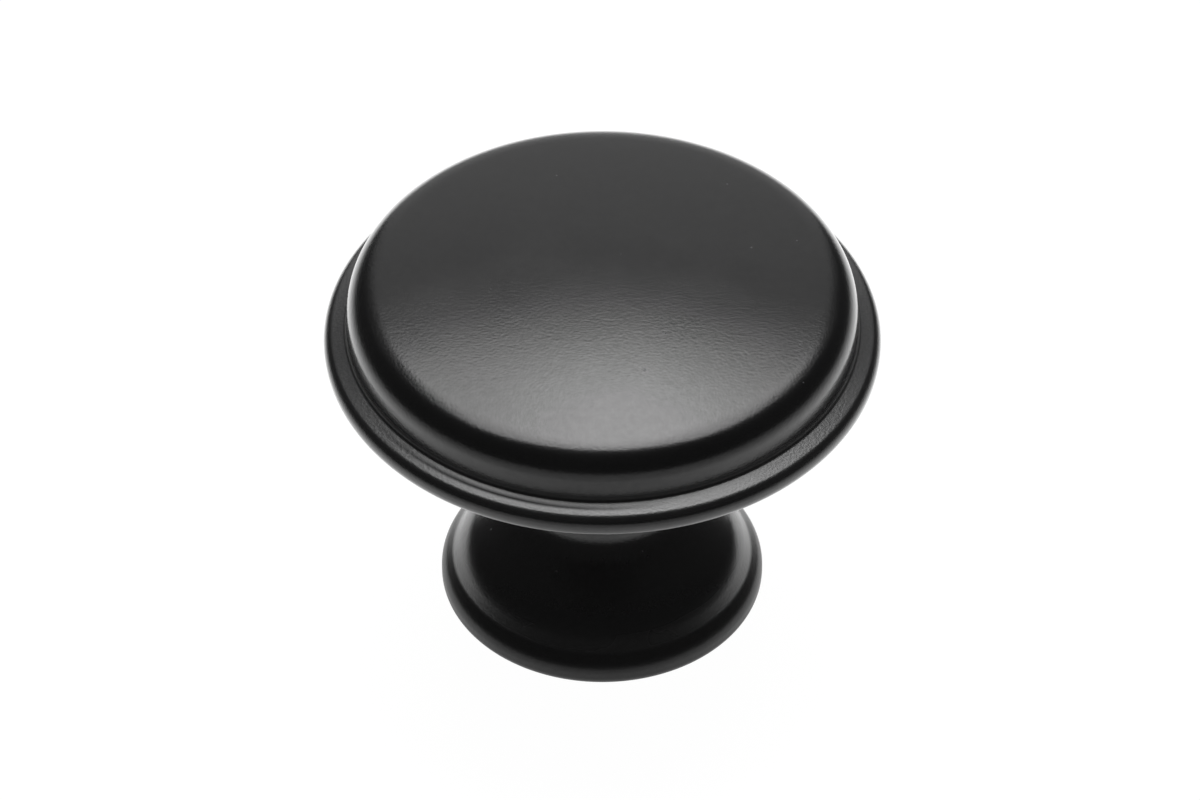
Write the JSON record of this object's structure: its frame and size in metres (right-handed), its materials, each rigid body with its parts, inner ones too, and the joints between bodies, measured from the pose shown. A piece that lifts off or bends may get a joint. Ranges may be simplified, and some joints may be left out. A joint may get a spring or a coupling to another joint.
{
  "type": "cabinet knob",
  "caption": "Round mushroom-shaped cabinet knob with a domed raised disc on a narrow rim, a waisted neck and a small rounded foot, screwed to a drawer or door front from behind.",
  "frame": {"origin": "Centre of the foot's flat base, on the knob's axis.", "axes": "+Z runs along the knob's axis from the foot to the crown; +X and +Y are any two directions square to it, since the knob is round."},
  "size_m": [0.033, 0.033, 0.0248],
  "materials": {
    "black_coat": "satin"
  },
  "bodies": {
    "root": {"knob": "black_coat"}
  },
  "joints": []
}
